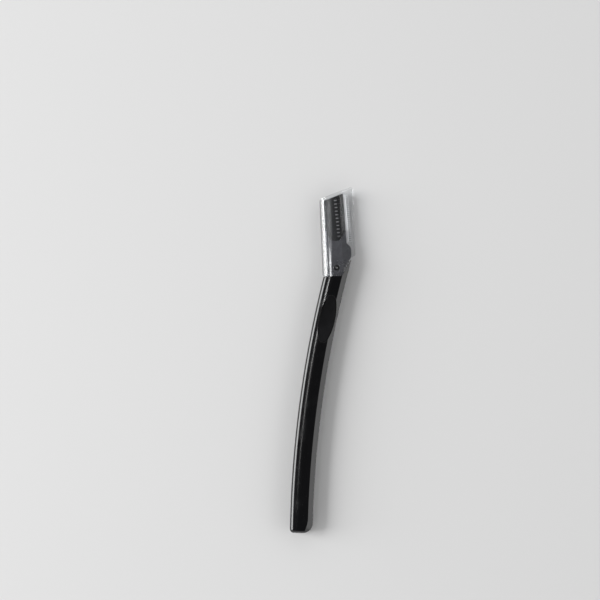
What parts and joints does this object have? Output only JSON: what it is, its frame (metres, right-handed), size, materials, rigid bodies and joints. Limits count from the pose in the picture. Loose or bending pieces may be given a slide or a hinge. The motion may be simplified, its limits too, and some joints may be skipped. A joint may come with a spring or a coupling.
{
  "type": "eyebrow razor",
  "caption": "Slim bowed eyebrow razor: two-shell handle with soft pads, angled head with a comb-guarded steel blade under a clamp cover, and a clear slip-on cap with a slanted top.",
  "frame": {"origin": "where the head's axis meets the handle's centre line, on the flat back that the razor lies on", "axes": "+Y along the head, the way the cap pulls off; +Z out of the front face; +X across the head towards the cutting edge"},
  "size_m": [0.0342, 0.1501, 0.007],
  "materials": {
    "handle_gloss": "polished black moulded plastic",
    "soft_pad": "fine matte soft-touch black",
    "neck_satin": "satin dark grey moulded plastic",
    "cover_dark": "satin black moulded plastic",
    "blade_steel": "ground stainless strip with a polished edge",
    "comb_steel": "bright folded stainless sheet",
    "cap_clear": "clear injection-moulded plastic with a faint haze"
  },
  "bodies": {
    "razor": {"handle_front_shell": "handle_gloss", "handle_back_shell": "handle_gloss", "thumb_pad": "soft_pad", "finger_pad": "soft_pad", "head_frame": "neck_satin", "blade_cover": "cover_dark", "blade": "blade_steel", "guard_comb": "comb_steel"},
    "cap": {"cap": "cap_clear"}
  },
  "joints": [
    {"name": "cap_slide", "type": "slide", "parent": "razor", "child": "cap", "axis": [0, 1, 0], "range_m": [0, 0.042]}
  ]
}
